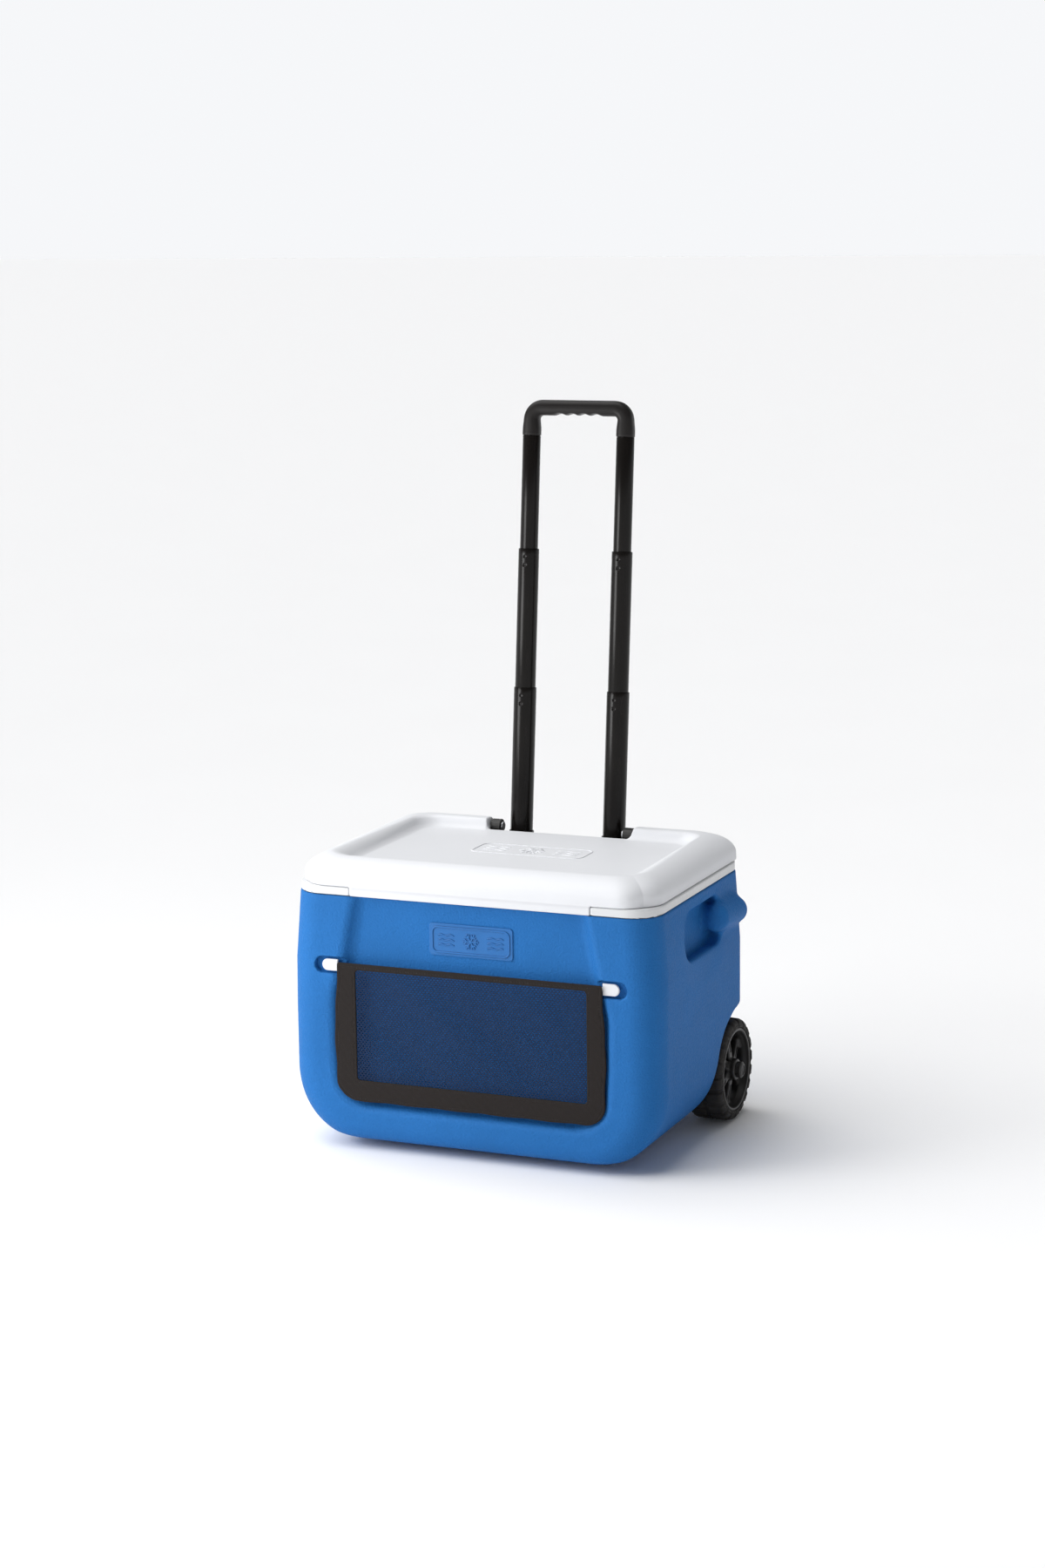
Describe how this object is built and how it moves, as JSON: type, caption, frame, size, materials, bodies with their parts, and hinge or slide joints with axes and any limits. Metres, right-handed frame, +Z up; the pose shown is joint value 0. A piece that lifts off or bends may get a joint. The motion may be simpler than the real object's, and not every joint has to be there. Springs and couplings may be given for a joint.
{
  "type": "wheeled cooler",
  "caption": "Hard-sided wheeled cooler: insulated tub, hinged tray-top lid, telescopic rear handle, front net pocket, moulded side grips.",
  "frame": {"origin": "middle of the whole object's footprint, on the ground", "axes": "+Z up, +X to the object's right seen from the front, the front with its pocket faces -Y"},
  "size_m": [0.5938, 0.4554, 1.0361],
  "materials": {
    "shell_blue": "fine moulded texture",
    "white_plastic": "smooth satin",
    "foam": "cut foam",
    "black_plastic": "satin",
    "tube_black": "satin black powder coat",
    "grip": "matte",
    "tyre": "matte",
    "steel": "zinc plated",
    "net": "open knitted net",
    "binding": "woven tape",
    "rubber": "matte"
  },
  "bodies": {
    "tub": {"outer_shell": "shell_blue", "inner_liner": "white_plastic", "tub_foam": "foam", "handle_housing": "black_plastic", "housing_foot": "black_plastic", "axle": "steel", "pocket_binding": "binding", "pocket_net": "net", "pocket_batten": "white_plastic", "front_badge": "shell_blue", "drain_sleeve": "black_plastic", "hinge_bracket_left": "black_plastic", "hinge_pin_left": "steel", "sleeve_left": "tube_black", "housing_screw_left_upper": "steel", "housing_screw_left_lower": "steel", "washer_left": "steel", "axle_cap_left": "black_plastic", "hinge_bracket_right": "black_plastic", "hinge_pin_right": "steel", "sleeve_right": "tube_black", "housing_screw_right_upper": "steel", "housing_screw_right_lower": "steel", "washer_right": "steel", "axle_cap_right": "black_plastic"},
    "lid": {"lid_top": "white_plastic", "lid_inner_panel": "white_plastic", "lid_foam": "foam"},
    "handle_lower": {"tube_lower_left": "tube_black", "end_plug_lower_left": "black_plastic", "tube_lower_right": "tube_black", "end_plug_lower_right": "black_plastic"},
    "handle_middle": {"tube_middle_left": "tube_black", "end_plug_middle_left": "black_plastic", "tube_middle_right": "tube_black", "end_plug_middle_right": "black_plastic"},
    "handle_upper": {"tube_upper_left": "tube_black", "end_plug_upper_left": "black_plastic", "tube_upper_right": "tube_black", "end_plug_upper_right": "black_plastic", "handle_grip": "grip"},
    "pin_lower_left": {"lock_pin_lower_left": "steel"},
    "pin_lower_right": {"lock_pin_lower_right": "steel"},
    "pin_middle_left": {"lock_pin_middle_left": "steel"},
    "pin_middle_right": {"lock_pin_middle_right": "steel"},
    "pin_upper_left": {"lock_pin_upper_left": "steel"},
    "pin_upper_right": {"lock_pin_upper_right": "steel"},
    "wheel_left": {"wheel_left": "black_plastic", "tyre_left": "tyre"},
    "wheel_right": {"wheel_right": "black_plastic", "tyre_right": "tyre"},
    "drain": {"drain_plug": "black_plastic", "drain_gasket": "rubber"}
  },
  "joints": [
    {"name": "lid_hinge", "type": "hinge", "parent": "tub", "child": "lid", "pos_m": [0, 0.134, 0.407], "axis": [-1, 0, 0], "range_deg": [0, 92]},
    {"name": "handle_lower_slide", "type": "slide", "parent": "tub", "child": "handle_lower", "axis": [0, 0.0988, 0.9951], "range_m": [-0.201, 0]},
    {"name": "handle_middle_slide", "type": "slide", "parent": "handle_lower", "child": "handle_middle", "axis": [0, 0.0988, 0.9951], "range_m": [-0.201, 0]},
    {"name": "handle_upper_slide", "type": "slide", "parent": "handle_middle", "child": "handle_upper", "axis": [0, 0.0988, 0.9951], "range_m": [-0.162, 0]},
    {"name": "pin_lower_left_press", "type": "slide", "parent": "handle_lower", "child": "pin_lower_left", "axis": [0, 0.9951, -0.0988], "range_m": [0, 0.0015], "stiffness_N_per_m": 400, "springref_m": -0.002},
    {"name": "pin_lower_right_press", "type": "slide", "parent": "handle_lower", "child": "pin_lower_right", "axis": [0, 0.9951, -0.0988], "range_m": [0, 0.0015], "stiffness_N_per_m": 400, "springref_m": -0.002},
    {"name": "pin_middle_left_press", "type": "slide", "parent": "handle_middle", "child": "pin_middle_left", "axis": [0, 0.9951, -0.0988], "range_m": [0, 0.0015], "stiffness_N_per_m": 400, "springref_m": -0.002},
    {"name": "pin_middle_right_press", "type": "slide", "parent": "handle_middle", "child": "pin_middle_right", "axis": [0, 0.9951, -0.0988], "range_m": [0, 0.0015], "stiffness_N_per_m": 400, "springref_m": -0.002},
    {"name": "pin_upper_left_press", "type": "slide", "parent": "handle_upper", "child": "pin_upper_left", "axis": [0, 0.9951, -0.0988], "range_m": [0, 0.0015], "stiffness_N_per_m": 400, "springref_m": -0.002},
    {"name": "pin_upper_right_press", "type": "slide", "parent": "handle_upper", "child": "pin_upper_right", "axis": [0, 0.9951, -0.0988], "range_m": [0, 0.0015], "stiffness_N_per_m": 400, "springref_m": -0.002},
    {"name": "wheel_left_spin", "type": "hinge", "parent": "tub", "child": "wheel_left", "pos_m": [-0.253, 0.1075, 0.075], "axis": [1, 0, 0], "continuous": true},
    {"name": "wheel_right_spin", "type": "hinge", "parent": "tub", "child": "wheel_right", "pos_m": [0.253, 0.1075, 0.075], "axis": [1, 0, 0], "continuous": true},
    {"name": "drain_plug_pull", "type": "slide", "parent": "tub", "child": "drain", "axis": [-1, 0, 0], "range_m": [0, 0.03]}
  ]
}
